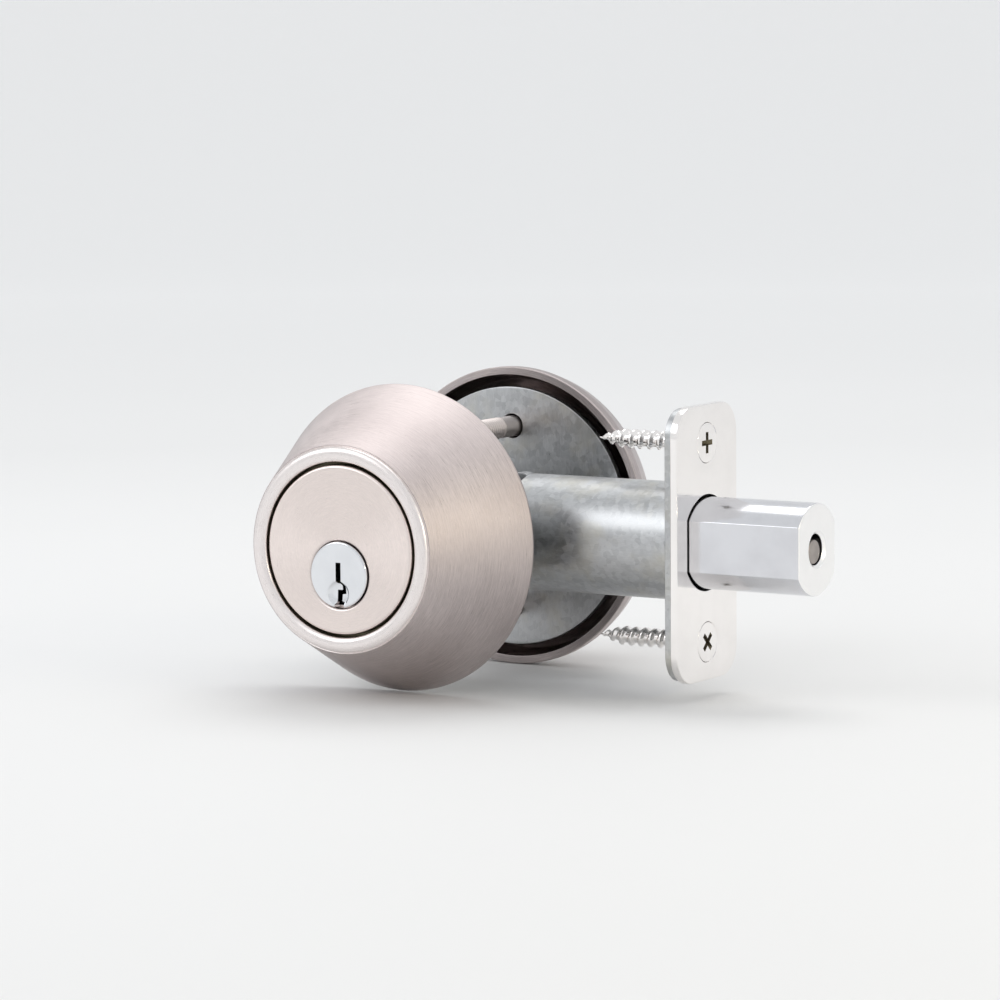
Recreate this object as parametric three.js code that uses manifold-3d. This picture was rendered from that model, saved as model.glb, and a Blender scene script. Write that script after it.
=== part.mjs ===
// Single-cylinder deadbolt for a 44.45 mm door: keyed cylinder in a free-spinning guard outside,
// thumbturn inside, and a tubular latch between them. Millimetres. The origin is where the axis of
// the door's cross bore meets the axis of the bolt. +X runs to the door's edge, -Y is outside.
import * as THREE from "three";
import { mergeVertices } from "three/addons/utils/BufferGeometryUtils.js";
import Module from "manifold-3d";

const wasm = await Module();
wasm.setup();

// Segments round a circle.
const FINE = 60;
const MEDIUM = 30;
const COARSE = 16;
const TINY = 10;
const WELD = 1e-4;

// Running and assembly clearances.
const GAP = 0.3;
const CLOSE_GAP = 0.15;

// The door and the cross bore.
const OUTSIDE = -22.225;
const INSIDE = 22.225;
const EDGE = 60.3;
const PLUG_DROP = -5.1; // the plug, the tailpiece and the hub turn about this height
const POST_HEIGHT = 19.5;

// Guard.
const GUARD_BASE_R = 32.3;
const GUARD_INNER_R = 29.4;
const GUARD_MOUTH_R = 18.05;
const GUARD_FRONT = -46.55;
const LIP_BACK = -43.7;
const CREASE_R = 21.35;

// Cylinder.
const HEAD_R = 17.45;
const HEAD_FRONT = -46.2;
const HEAD_BACK = -43.4;
const FLANGE_R = 19.8;
const FLANGE_BACK = -41.4;
const BARREL_R = 9.3;
const BARREL_BACK = -15;
const STACK_HALF_WIDTH = 4.6;
const STACK_TOP = 11.8;
const STACK_BACK = -22;
const EAR_HALF_WIDTH = 5.5;
const EAR_REACH = 23.5;
const EAR_FRONT = -27.3;
const EAR_BACK = -24.3;
const PLUG_R = 6.25;
const PLUG_FACE_R = 6.8;
const PLUG_BORE_R = 6.5;
const PLUG_FACE_BACK = -44.4;
const PLUG_BACK = -12.6;
const CLIP_GROOVE = [-14.6, -13.6];
const CLIP_GROOVE_R = 5.4;
const PLUG_FRONT = -46.55;
const PLUG_EDGE = 0.35;
const RECESS_R = 2.6;
const RECESS_DROP = 3.85;
const RECESS_DEPTH = 0.6;
const RECESS_STEPS = 4;
const KEYWAY_BACK = -20;

// Pins: first chamber, spacing, and the key cut under each pin (height above the plug's axis).
const FIRST_CHAMBER = -40.6;
const CHAMBER_PITCH = 3.81;
const CHAMBER_R = 1.6;
const PIN_R = 1.35;
const KEY_CUTS = [1.2, 2.4, 0.6, 1.8, 2.8];
const KEY_PIN_TOP = 6;
const DRIVER_BOTTOM = 6.7;
const DRIVER_LENGTH = 4.4;
const SPRING_WIRE_R = 0.17;
const SPRING_R = 1.05;
const SPRING_TURNS = 5;
const SPRING_STEPS = 6;
const CAP_THICKNESS = 0.8;

// Tailpiece.
const BLADE_HALF_WIDTH = 2.8;
const BLADE_HALF_THICKNESS = 1.2;
const BLADE_ENDS = [-16, 30];
const QUARTER_TURN = 90;

// Posts and the screws that join the two sides.
const POST_R = 3.9;
const POST_BORE_R = 2.65;
const POST_BORE_BOTTOM = -22;
const POST_END = -6;
const THROUGH_R = 2.35;
const THROUGH_TIP = -20;
const PLATE_THICKNESS = 1.5;

// Latch.
const FACE_HEIGHT = 57.15;
const FACE_WIDTH = 25.4;
const FACE_CORNER = 6.35;
const FACE_BACK = 58.6;
const BACKING_BACK = 57.1;
const SCREW_HEIGHT = 20.64;
const TUBE_R = 12.2;
const TUBE_INNER_R = 11.3;
const TUBE_START = 18.5;
const CASE_FACE = 5;
const CASE_SKIN = 1.2;
const CASE_RIVETS = [[-15.5, -8.2], [12.5, -7.6]];
const HUB_R = 5.2;
const JOURNAL_R = 3.75;
const LEVER_R = 17.96;
const LEVER_PIN_R = 1.6;
const LEVER_REST = 45;
const LEVER_LAYER = [1.9, 4.4];

// Bolt.
const BOLT_R = 9.525;
const BOLT_HALF_WIDTH = 7.95;
const BOLT_BACK = 47;
const THROW = 25.4;
const BOLT_FRONT = EDGE + THROW;
const BOLT_EDGE = 0.4;
const BOLT_HOLE_R = 3.2;
const BOLT_HOLE_BOTTOM = 53;
const ROLLER_R = 2.5;
const ROLLER_OFFSET = [-0.3, -0.45];
const TAIL_HALF_THICKNESS = 1.5;
const TAIL_BOTTOM = 0.6;
const TAIL_TOP = 9;
const TAIL_FRONT = 51.8;
const FORK_X = THROW / 2;
const FORK_HALF_SLOT = 2.26;
const FORK_OUTER = 5.4;
const FORK_TOP = 12.4;
const FORK_FLOOR = 3.6;
const TAIL_RIVET = [49.5, 5];

// Inside rose and thumbturn.
const ROSE_FACE = 31.2;
const ROSE_INNER_FACE = 29.4;
const SPINDLE_R = 5.5;
const SPINDLE_END = 25;
const RING_GROOVE = [26.4, 27.4];
const RING_GROOVE_R = 4.6;
const TURN_BACK = 31.6;

const SATIN = { color: 0xd8cfc8, metalness: 1, roughness: 0.4 };
const POLISHED = { color: 0xdcdcde, metalness: 1, roughness: 0.12 };
const STEEL = { color: 0xa9a9a6, metalness: 1, roughness: 0.4 };
const BRASS = { color: 0xc6a55c, metalness: 1, roughness: 0.35 };
const CAST = { color: 0x9c9c9a, metalness: 1, roughness: 0.55 };

// A three.js geometry as a solid whose faces point outwards.
function solidOf(geometry) {
  const bare = geometry.index ? geometry.toNonIndexed() : geometry.clone();
  bare.deleteAttribute("normal");
  bare.deleteAttribute("uv");
  const merged = mergeVertices(bare, WELD);
  const corners = merged.index.array;
  const points = merged.attributes.position.array;
  const faces = [];
  for (let i = 0; i < corners.length; i += 3) {
    const [a, b, c] = [corners[i], corners[i + 1], corners[i + 2]];
    if (a !== b && b !== c && c !== a) faces.push([a, b, c]);
  }
  const made = manifoldOf(points, faces);
  if (made.volume() > 0) return made;
  return manifoldOf(points, faces.map(([a, b, c]) => [a, c, b]));
}

function manifoldOf(points, faces) {
  const mesh = new wasm.Mesh({
    numProp: 3,
    vertProperties: points,
    triVerts: new Uint32Array(faces.flat()),
  });
  return new wasm.Manifold(mesh);
}

// The frame that sends a drawing's u, v and its depth to the row's axes.
function frameAlong(axis) {
  const x = new THREE.Vector3(1, 0, 0);
  const y = new THREE.Vector3(0, 1, 0);
  const z = new THREE.Vector3(0, 0, 1);
  const bases = { x: [y, z, x], y: [x, z, y], z: [x, y, z] };
  return new THREE.Matrix4().makeBasis(...bases[axis]);
}

// A flat outline, or a list of [u, v] corners, made into a slab along an axis.
function slab(outline, axis, from, to) {
  const shape = new THREE.Shape(outline.map(([u, v]) => new THREE.Vector2(u, v)));
  const made = new THREE.ExtrudeGeometry(shape, { depth: to - from, bevelEnabled: false });
  made.translate(0, 0, from);
  made.applyMatrix4(frameAlong(axis));
  return solidOf(made);
}

function box(axis, [u0, u1], [v0, v1], from, to) {
  const outline = [[u0, v0], [u1, v0], [u1, v1], [u0, v1]];
  return slab(outline, axis, from, to);
}

// A profile of [radius, distance along the axis] turned about a line parallel to an axis.
function turned(profile, axis, [u, v], segments = MEDIUM) {
  const points = profile.map(([r, along]) => new THREE.Vector2(r, along));
  const made = new THREE.LatheGeometry(points, segments);
  const upright = new THREE.Matrix4().makeRotationX(Math.PI / 2);
  made.applyMatrix4(upright);
  made.translate(u, v, 0);
  made.applyMatrix4(frameAlong(axis));
  return solidOf(made);
}

function rod(axis, centre, r, from, to, segments = MEDIUM) {
  return turned([[0, from], [r, from], [r, to], [0, to]], axis, centre, segments);
}

function ring(axis, centre, inner, outer, from, to, segments = MEDIUM) {
  const profile = [[inner, from], [outer, from], [outer, to], [inner, to], [inner, from]];
  return turned(profile, axis, centre, segments);
}

// Turns a solid about a line along Y through a point of the XZ plane, anticlockwise from outside.
function swung(solid, degrees, [x, z]) {
  return solid.translate([-x, 0, -z]).rotate([0, -degrees, 0]).translate([x, 0, z]);
}

function arc(r, from, to, steps, [u, v] = [0, 0]) {
  const points = [];
  for (let i = 0; i <= steps; i++) {
    const a = THREE.MathUtils.degToRad(from + ((to - from) * i) / steps);
    points.push([u + r * Math.cos(a), v + r * Math.sin(a)]);
  }
  return points;
}

function roundedRectangle(width, height, corner, steps) {
  const u = width / 2 - corner;
  const v = height / 2 - corner;
  return [
    ...arc(corner, 0, 90, steps, [u, v]),
    ...arc(corner, 90, 180, steps, [-u, v]),
    ...arc(corner, 180, 270, steps, [-u, -v]),
    ...arc(corner, 270, 360, steps, [u, -v]),
  ];
}

// The bolt's section: a circle with its two sides cut flat, grown by a margin.
function boltSection(margin) {
  const r = BOLT_R + margin;
  const half = BOLT_HALF_WIDTH + margin;
  const corner = THREE.MathUtils.radToDeg(Math.acos(half / r));
  return [...arc(r, corner, 180 - corner, 14), ...arc(r, 180 + corner, 360 - corner, 14)];
}

const PLUG_AXIS = [0, PLUG_DROP];

// The tailpiece's section, with a margin when it is the hole for it.
function blade(from, to, margin = 0) {
  const u = BLADE_HALF_WIDTH + margin;
  const v = BLADE_HALF_THICKNESS + margin;
  return box("y", [-u, u], [PLUG_DROP - v, PLUG_DROP + v], from, to);
}

// A cross recess in a screw head that faces up an axis.
function crossRecess(axis, [u, v], face, depth, reach, degrees) {
  const half = 0.5;
  const made = box(axis, [-reach, reach], [-half, half], face - depth, face + 1).add(
    box(axis, [-half, half], [-reach, reach], face - depth, face + 1),
  );
  const spin = axis === "x" ? [degrees, 0, 0] : [0, degrees, 0];
  const move = axis === "x" ? [0, u, v] : [u, 0, v];
  return made.rotate(spin).translate(move);
}

const group = new THREE.Group();
group.name = "deadbolt";

// Adds one named piece to the lock.
function piece(name, solid, finish) {
  const found = solid.getMesh();
  const geometry = new THREE.BufferGeometry();
  geometry.setAttribute("position", new THREE.BufferAttribute(found.vertProperties, 3));
  geometry.setIndex(new THREE.BufferAttribute(found.triVerts, 1));
  const flat = geometry.toNonIndexed();
  flat.computeVertexNormals();
  const mesh = new THREE.Mesh(flat, new THREE.MeshStandardMaterial(finish));
  mesh.name = name;
  group.add(mesh);
}

// Guard: a hollow cone with a rounded bead round its mouth.
function guard() {
  const profile = [
    [GUARD_INNER_R, OUTSIDE],
    [GUARD_BASE_R - 0.3, OUTSIDE],
    [GUARD_BASE_R, OUTSIDE - 0.3],
    [CREASE_R + 0.15, GUARD_FRONT + 1.0],
    [CREASE_R - 0.1, GUARD_FRONT + 0.85],
    [CREASE_R - 0.2, GUARD_FRONT + 0.5],
    [CREASE_R - 0.75, GUARD_FRONT + 0.14],
    [CREASE_R - 1.6, GUARD_FRONT],
    [GUARD_MOUTH_R + 0.8, GUARD_FRONT + 0.12],
    [GUARD_MOUTH_R + 0.2, GUARD_FRONT + 0.45],
    [GUARD_MOUTH_R, GUARD_FRONT + 1],
    [GUARD_MOUTH_R, LIP_BACK],
    [FLANGE_R + 0.5, LIP_BACK],
    [FLANGE_R + 0.5, FLANGE_BACK],
    [GUARD_INNER_R, OUTSIDE],
  ];
  return turned(profile, "y", [0, 0], FINE);
}

function chamberAt(index) {
  return FIRST_CHAMBER + index * CHAMBER_PITCH;
}

// Cylinder body: round head, barrel round the plug, pin stack above it and two ears.
function cylinderBody() {
  const head = turned(
    [
      [0, HEAD_FRONT],
      [HEAD_R - 0.5, HEAD_FRONT],
      [HEAD_R - 0.14, HEAD_FRONT + 0.14],
      [HEAD_R, HEAD_FRONT + 0.5],
      [HEAD_R, HEAD_BACK],
      [FLANGE_R, HEAD_BACK],
      [FLANGE_R, FLANGE_BACK],
      [0, FLANGE_BACK],
    ],
    "y",
    [0, 0],
    FINE,
  );
  const width = [-STACK_HALF_WIDTH, STACK_HALF_WIDTH];
  const ears = [-EAR_HALF_WIDTH, EAR_HALF_WIDTH];
  let made = head
    .add(rod("y", PLUG_AXIS, BARREL_R, FLANGE_BACK - 0.5, BARREL_BACK))
    .add(box("y", width, [PLUG_DROP, STACK_TOP], FLANGE_BACK - 0.5, STACK_BACK))
    .add(box("y", ears, [-EAR_REACH, EAR_REACH], EAR_FRONT, EAR_BACK))
    .subtract(rod("y", PLUG_AXIS, PLUG_BORE_R, HEAD_FRONT - 1, BARREL_BACK + 1))
    .subtract(rod("y", PLUG_AXIS, PLUG_FACE_R + CLOSE_GAP, HEAD_FRONT - 1, PLUG_FACE_BACK + 0.2));
  KEY_CUTS.forEach((_, i) => {
    const chamber = rod("z", [0, chamberAt(i)], CHAMBER_R, 0, STACK_TOP + 0.1, COARSE);
    made = made.subtract(chamber);
  });
  return made;
}

// The keyway's outline about the plug's axis: an upper slot, two side wards and a wide foot.
const KEYWAY = [
  [-0.62, 2.55], [0.58, 2.55], [0.58, -1.25], [1.6, -2.2], [1.6, -3.85], [0.72, -3.95],
  [0.62, -5.35], [1.3, -5.6], [1.3, -7.4], [-1, -7.4], [-1, -6.1], [-0.55, -5.6],
  [-0.45, -3.1], [0.75, -3.05], [0.75, -2.15], [0.3, -1.75], [-0.3, -1.7], [-0.62, -1.35],
];

function plug() {
  const body = turned(
    [
      [0, PLUG_FRONT],
      [PLUG_FACE_R - PLUG_EDGE, PLUG_FRONT],
      [PLUG_FACE_R, PLUG_FRONT + PLUG_EDGE],
      [PLUG_FACE_R, PLUG_FACE_BACK],
      [PLUG_R, PLUG_FACE_BACK],
      [PLUG_R, CLIP_GROOVE[0]],
      [CLIP_GROOVE_R, CLIP_GROOVE[0]],
      [CLIP_GROOVE_R, CLIP_GROOVE[1]],
      [PLUG_R, CLIP_GROOVE[1]],
      [PLUG_R, PLUG_BACK],
      [0, PLUG_BACK],
    ],
    "y",
    PLUG_AXIS,
    MEDIUM + 12,
  );
  const outline = KEYWAY.map(([u, v]) => [u, v + PLUG_DROP]);
  // The dish round the lower keyway guides the key in.
  const dish = [[0, PLUG_FRONT + RECESS_DEPTH]];
  for (let i = 1; i <= RECESS_STEPS; i += 1) {
    const share = i / RECESS_STEPS;
    dish.push([RECESS_R * share, PLUG_FRONT + RECESS_DEPTH * (1 - share * share)]);
  }
  dish.push([RECESS_R, PLUG_FRONT - 1], [0, PLUG_FRONT - 1]);
  let made = body
    .subtract(slab(outline, "y", PLUG_FRONT - 1, KEYWAY_BACK))
    .subtract(turned(dish, "y", [0, PLUG_DROP - RECESS_DROP], MEDIUM));
  KEY_CUTS.forEach((_, i) => {
    const bottom = PLUG_DROP - 0.2;
    const chamber = rod("z", [0, chamberAt(i)], CHAMBER_R, bottom, PLUG_DROP + 8, COARSE);
    made = made.subtract(chamber);
  });
  // The pocket lets the tailpiece swing a quarter turn before the plug picks it up.
  for (let a = 0; a <= QUARTER_TURN; a += 15) {
    const slot = blade(BLADE_ENDS[0] - 0.5, PLUG_BACK + 1, CLOSE_GAP);
    made = made.subtract(swung(slot, a, PLUG_AXIS));
  }
  return made;
}

function keyPin(index) {
  const bottom = PLUG_DROP + KEY_CUTS[index];
  const top = PLUG_DROP + KEY_PIN_TOP;
  const profile = [[0, bottom], [0.5, bottom], [PIN_R, bottom + 0.8], [PIN_R, top], [0, top]];
  return turned(profile, "z", [0, chamberAt(index)], TINY + 4);
}

function driverPin(index) {
  const bottom = PLUG_DROP + DRIVER_BOTTOM;
  return rod("z", [0, chamberAt(index)], PIN_R, bottom, bottom + DRIVER_LENGTH, TINY + 4);
}

// A coil spring between a driver pin and the cap over the chambers.
function pinSpring(index) {
  const from = PLUG_DROP + DRIVER_BOTTOM + DRIVER_LENGTH + SPRING_WIRE_R + 0.05;
  const to = STACK_TOP - SPRING_WIRE_R - 0.05;
  const points = [];
  const steps = SPRING_TURNS * SPRING_STEPS;
  for (let i = 0; i <= steps; i++) {
    const a = (i / SPRING_STEPS) * Math.PI * 2;
    const z = THREE.MathUtils.lerp(from, to, i / steps);
    points.push(
      new THREE.Vector3(SPRING_R * Math.cos(a), chamberAt(index) + SPRING_R * Math.sin(a), z),
    );
  }
  const path = new THREE.CatmullRomCurve3(points);
  const wire = new THREE.Shape(
    arc(SPRING_WIRE_R, 0, 288, 4).map(([u, v]) => new THREE.Vector2(u, v)),
  );
  return solidOf(
    new THREE.ExtrudeGeometry(wire, { steps, extrudePath: path, bevelEnabled: false }),
  );
}

// A snap ring with an open mouth, pushed on from above.
function snapRing(inner, outer, from, to, mouth) {
  const cut = box("y", [-mouth, mouth], [PLUG_DROP - 2 * outer, PLUG_DROP - 1], from - 1, to + 1);
  return ring("y", PLUG_AXIS, inner, outer, from, to).subtract(cut);
}

// Steel plate against a face of the door, with holes for what passes through it.
function coverPlate(r, from, centreHole, boltHole) {
  let made = rod("y", [0, 0], r, from, from + PLATE_THICKNESS, MEDIUM + 10);
  made = made.subtract(rod("y", PLUG_AXIS, centreHole, from - 1, from + 3));
  for (const side of [-1, 1]) {
    const hole = rod("y", [0, side * POST_HEIGHT], boltHole, from - 1, from + 3, COARSE);
    made = made.subtract(hole);
  }
  return made;
}

function supportPlate() {
  const back = OUTSIDE - PLATE_THICKNESS;
  const half = STACK_HALF_WIDTH + GAP;
  const window = box("y", [-half, half], [PLUG_DROP, STACK_TOP + 1.2], back - 1, OUTSIDE + 1);
  return coverPlate(GUARD_INNER_R - 1.2, back, BARREL_R + GAP, POST_R + GAP).subtract(window);
}

function post(side) {
  const profile = [
    [0, EAR_BACK],
    [POST_R, EAR_BACK],
    [POST_R, POST_END],
    [POST_BORE_R, POST_END],
    [POST_BORE_R, POST_BORE_BOTTOM],
    [0, POST_BORE_BOTTOM],
  ];
  return turned(profile, "y", [0, side * POST_HEIGHT], COARSE);
}

function throughBolt(side) {
  const profile = [
    [0, THROUGH_TIP],
    [THROUGH_R - 0.5, THROUGH_TIP],
    [THROUGH_R, THROUGH_TIP + 0.6],
    [THROUGH_R, ROSE_FACE - 2.1],
    [4.3, ROSE_FACE],
    [3.2, ROSE_FACE + 0.5],
    [0, ROSE_FACE + 0.7],
  ];
  const centre = [0, side * POST_HEIGHT];
  const recess = crossRecess("y", centre, ROSE_FACE + 0.7, 1.7, 2.2, side > 0 ? 20 : -35);
  return turned(profile, "y", centre, COARSE + 4).subtract(recess);
}

// Rose inside: a dished shell with two bosses that reach the plate behind it.
function insideRose() {
  const shell = turned(
    [
      [0, INSIDE],
      [GUARD_BASE_R, INSIDE],
      [GUARD_BASE_R, INSIDE + 2],
      [31.3, ROSE_FACE - 2.6],
      [29.7, ROSE_FACE - 0.7],
      [27.2, ROSE_FACE],
      [0, ROSE_FACE],
    ],
    "y",
    [0, 0],
    FINE,
  );
  const hollow = turned(
    [
      [0, INSIDE - 1],
      [30.6, INSIDE - 1],
      [30.6, INSIDE + 1.8],
      [29.5, ROSE_INNER_FACE - 1.4],
      [26.8, ROSE_INNER_FACE],
      [0, ROSE_INNER_FACE],
    ],
    "y",
    [0, 0],
    FINE,
  );
  let made = shell.subtract(hollow);
  for (const side of [-1, 1]) {
    const centre = [0, side * POST_HEIGHT];
    const sink = turned(
      [
        [0, INSIDE],
        [THROUGH_R + GAP, INSIDE],
        [THROUGH_R + GAP, ROSE_FACE - 2.1],
        [4.3 + GAP, ROSE_FACE],
        [4.3 + GAP, ROSE_FACE + 1],
        [0, ROSE_FACE + 1],
      ],
      "y",
      centre,
      COARSE + 4,
    );
    const boss = rod("y", centre, 5.6, INSIDE + PLATE_THICKNESS, ROSE_INNER_FACE + 0.2, COARSE);
    made = made.add(boss).subtract(sink);
  }
  return made.subtract(rod("y", PLUG_AXIS, SPINDLE_R + GAP, INSIDE, ROSE_FACE + 1));
}

// Thumbturn: flat paddle on a round foot, with the spindle that takes the tailpiece.
function thumbturn() {
  const foot = turned(
    [
      [0, SPINDLE_END],
      [SPINDLE_R, SPINDLE_END],
      [SPINDLE_R, RING_GROOVE[0]],
      [RING_GROOVE_R, RING_GROOVE[0]],
      [RING_GROOVE_R, RING_GROOVE[1]],
      [SPINDLE_R, RING_GROOVE[1]],
      [SPINDLE_R, TURN_BACK],
      [10.2, TURN_BACK],
      [10.2, TURN_BACK + 1.6],
      [9.4, TURN_BACK + 2.6],
      [0, TURN_BACK + 3.2],
    ],
    "y",
    PLUG_AXIS,
    MEDIUM + 12,
  );
  const outline = new THREE.Shape(
    [
      [-7.5, TURN_BACK + 2],
      [7.5, TURN_BACK + 2],
      [11, TURN_BACK + 6],
      ...arc(6, -40, 60, 5, [11.5, TURN_BACK + 12.5]),
      ...arc(32, 76, 104, 6, [0, TURN_BACK - 11]),
      ...arc(6, 120, 220, 5, [-11.5, TURN_BACK + 12.5]),
      [-11, TURN_BACK + 6],
    ].map(([x, y]) => new THREE.Vector2(x, y)),
  );
  const paddle = new THREE.ExtrudeGeometry(outline, {
    depth: 4.6,
    bevelThickness: 1.4,
    bevelSize: 1.2,
    bevelOffset: -1.2,
    bevelSegments: 2,
    curveSegments: 1,
  });
  paddle.translate(0, 0, PLUG_DROP - 2.3);
  return solidOf(paddle)
    .add(foot)
    .subtract(blade(SPINDLE_END - 1, BLADE_ENDS[1] + 1, CLOSE_GAP));
}

function turnWasher() {
  const [inner, outer] = [SPINDLE_R + 0.4, 8.4];
  const profile = [
    [inner, 27.7],
    [outer, 28.8],
    [outer, 29.2],
    [inner, 28.1],
    [inner, 27.7],
  ];
  return turned(profile, "y", PLUG_AXIS);
}

// The tapered hole that takes a faceplate screw.
function screwSink(side) {
  const profile = [
    [0, BACKING_BACK - 1],
    [2.3, BACKING_BACK - 1],
    [2.3, EDGE - 2.35],
    [4.35, EDGE],
    [4.35, EDGE + 1],
    [0, EDGE + 1],
  ];
  return turned(profile, "x", [0, side * SCREW_HEIGHT], COARSE + 4);
}

function edgePlate(width, height, corner, from, to, margin) {
  let made = slab(roundedRectangle(width, height, corner, 6), "x", from, to);
  made = made.subtract(slab(boltSection(margin), "x", from - 1, to + 1));
  for (const side of [-1, 1]) made = made.subtract(screwSink(side));
  return made;
}

function faceScrew(side) {
  const profile = [
    [0, EDGE - FACE_WIDTH],
    [0.4, EDGE - FACE_WIDTH],
    [1.9, EDGE - 19],
    [2.05, EDGE - 2.4],
    [4.13, EDGE],
    [0, EDGE],
  ];
  const centre = [0, side * SCREW_HEIGHT];
  const recess = crossRecess("x", centre, EDGE, 1.7, 2.3, side > 0 ? 0 : 45);
  return turned(profile, "x", centre, COARSE + 4).subtract(recess);
}

// Side plate of the latch case.
function casePlate(from, to) {
  const outline = [
    [-19, -9], [-17, -11], [13, -11], [17.8, -9.2], [20.8, -9.2], [20.8, 9.2], [-17, 9.2],
    [-19, 7.2],
  ];
  let made = slab(outline, "y", from, to);
  made = made.subtract(rod("y", PLUG_AXIS, JOURNAL_R + 0.25, from - 1, to + 1));
  for (const centre of CASE_RIVETS) {
    made = made.subtract(rod("y", centre, 1.6, from - 1, to + 1, COARSE));
  }
  return made;
}

function caseRivet(centre) {
  const shoulder = CASE_FACE - 0.05;
  const under = CASE_FACE + CASE_SKIN + 0.05;
  const end = under + 0.7;
  const profile = [
    [0, -end], [2.3, -end], [2.3, -under], [1.3, -under], [1.3, -shoulder], [2, -shoulder],
    [2, shoulder], [1.3, shoulder], [1.3, under], [2.3, under], [2.3, end], [0, end],
  ];
  return turned(profile, "y", centre, TINY + 4);
}

// Block at the front of the case that guides the bolt's tail.
function caseGuide() {
  const half = CASE_FACE - 0.05;
  const slot = TAIL_HALF_THICKNESS + GAP;
  return box("x", [-half, half], [-9.2, 9.2], 18.8, 20.8).subtract(
    box("x", [-slot, slot], [TAIL_BOTTOM - GAP, TAIL_TOP + 1], 18, 22),
  );
}

// Hub with its lever; the lever's pin stands in the fork of the bolt's tail.
function hubLever() {
  const tip = [0, PLUG_DROP + LEVER_R];
  const outline = [[-4.2, PLUG_DROP], [4.2, PLUG_DROP], ...arc(2.8, 0, 180, 8, tip)];
  const arm = slab(outline, "y", ...LEVER_LAYER).add(
    rod("y", tip, LEVER_PIN_R, -TAIL_HALF_THICKNESS - 0.7, LEVER_LAYER[0] + 0.1, COARSE),
  );
  return rod("y", PLUG_AXIS, HUB_R, -CASE_FACE + CLOSE_GAP, CASE_FACE - CLOSE_GAP)
    .add(rod("y", PLUG_AXIS, JOURNAL_R, -6.6, 6.6))
    .add(swung(arm, -LEVER_REST, PLUG_AXIS))
    .subtract(blade(-8, 8, CLOSE_GAP));
}

// Leaf spring that presses on the hub from below.
function hubSpring() {
  const outline = [
    [-18.6, -9.1], [-18.2, -8.9], [-16.6, -10.45], [14.4, -10.45], [16, -8.9], [16.4, -9.1],
    [14.6, -10.85], [-16.8, -10.85],
  ];
  return slab(outline, "y", -4.5, 4.5);
}

function bolt() {
  const outline = boltSection(0).map(([u, v]) => new THREE.Vector2(u, v));
  const body = new THREE.ExtrudeGeometry(new THREE.Shape(outline), {
    depth: BOLT_FRONT - BOLT_BACK - 2 * BOLT_EDGE,
    bevelThickness: BOLT_EDGE,
    bevelSize: BOLT_EDGE,
    bevelOffset: -BOLT_EDGE,
    bevelSegments: 2,
  });
  body.translate(0, 0, BOLT_BACK + BOLT_EDGE);
  body.applyMatrix4(frameAlong("x"));
  const hole = turned(
    [
      [0, BOLT_HOLE_BOTTOM],
      [BOLT_HOLE_R, BOLT_HOLE_BOTTOM],
      [BOLT_HOLE_R, BOLT_FRONT - 0.4],
      [BOLT_HOLE_R + 0.4, BOLT_FRONT],
      [BOLT_HOLE_R + 0.4, BOLT_FRONT + 1],
      [0, BOLT_FRONT + 1],
    ],
    "x",
    [0, 0],
  );
  const slot = TAIL_HALF_THICKNESS + 0.2;
  return solidOf(body)
    .subtract(hole)
    .subtract(box("x", [-slot, slot], [TAIL_BOTTOM - GAP, 12], BOLT_BACK - 1, TAIL_FRONT + GAP))
    .subtract(rod("y", TAIL_RIVET, 1.5, -12, 12, COARSE));
}

function roller() {
  const front = BOLT_FRONT - 0.5;
  const back = BOLT_HOLE_BOTTOM + GAP;
  const profile = [
    [0, back], [ROLLER_R - 0.3, back], [ROLLER_R, back + 0.3], [ROLLER_R, front - 0.3],
    [ROLLER_R - 0.3, front], [0, front],
  ];
  return turned(profile, "x", ROLLER_OFFSET, COARSE + 4);
}

// Tail of the bolt: a flat bar that ends in a fork.
function boltTail() {
  const [back, front] = [FORK_X - FORK_OUTER, FORK_X + FORK_OUTER];
  const [slotBack, slotFront] = [FORK_X - FORK_HALF_SLOT, FORK_X + FORK_HALF_SLOT];
  const outline = [
    [back, TAIL_BOTTOM], [TAIL_FRONT, TAIL_BOTTOM], [TAIL_FRONT, TAIL_TOP], [front, TAIL_TOP],
    [front, FORK_TOP], [slotFront, FORK_TOP], [slotFront, FORK_FLOOR], [slotBack, FORK_FLOOR],
    [slotBack, FORK_TOP], [back, FORK_TOP],
  ];
  return slab(outline, "y", -TAIL_HALF_THICKNESS, TAIL_HALF_THICKNESS).subtract(
    rod("y", TAIL_RIVET, 1.5, -3, 3, COARSE),
  );
}

const sides = { upper: 1, lower: -1 };

piece("guard", guard(), SATIN);
piece("cylinder_body", cylinderBody(), SATIN);
piece("plug", plug(), POLISHED);
KEY_CUTS.forEach((_, i) => {
  piece(`key_pin_${i + 1}`, keyPin(i), BRASS);
  piece(`driver_pin_${i + 1}`, driverPin(i), BRASS);
  piece(`pin_spring_${i + 1}`, pinSpring(i), STEEL);
});
piece(
  "chamber_cap",
  box("y", [-3, 3], [STACK_TOP, STACK_TOP + CAP_THICKNESS], FLANGE_BACK + GAP, EAR_FRONT - GAP),
  BRASS,
);
piece("plug_clip", snapRing(CLIP_GROOVE_R + 0.2, 8.2, -14.5, -13.7, 4.4), STEEL);
piece("tailpiece", blade(...BLADE_ENDS), STEEL);
piece("support_plate", supportPlate(), STEEL);
piece("inside_plate", coverPlate(28, INSIDE, 6.5, THROUGH_R + GAP), STEEL);
piece("inside_rose", insideRose(), SATIN);
piece("thumbturn", thumbturn(), SATIN);
piece("turn_washer", turnWasher(), STEEL);
piece("turn_ring", snapRing(RING_GROOVE_R + 0.2, 8.4, 26.5, 27.3, 3.6), STEEL);
piece("faceplate", edgePlate(FACE_WIDTH, FACE_HEIGHT, FACE_CORNER, FACE_BACK, EDGE, 0.45), POLISHED);
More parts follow.
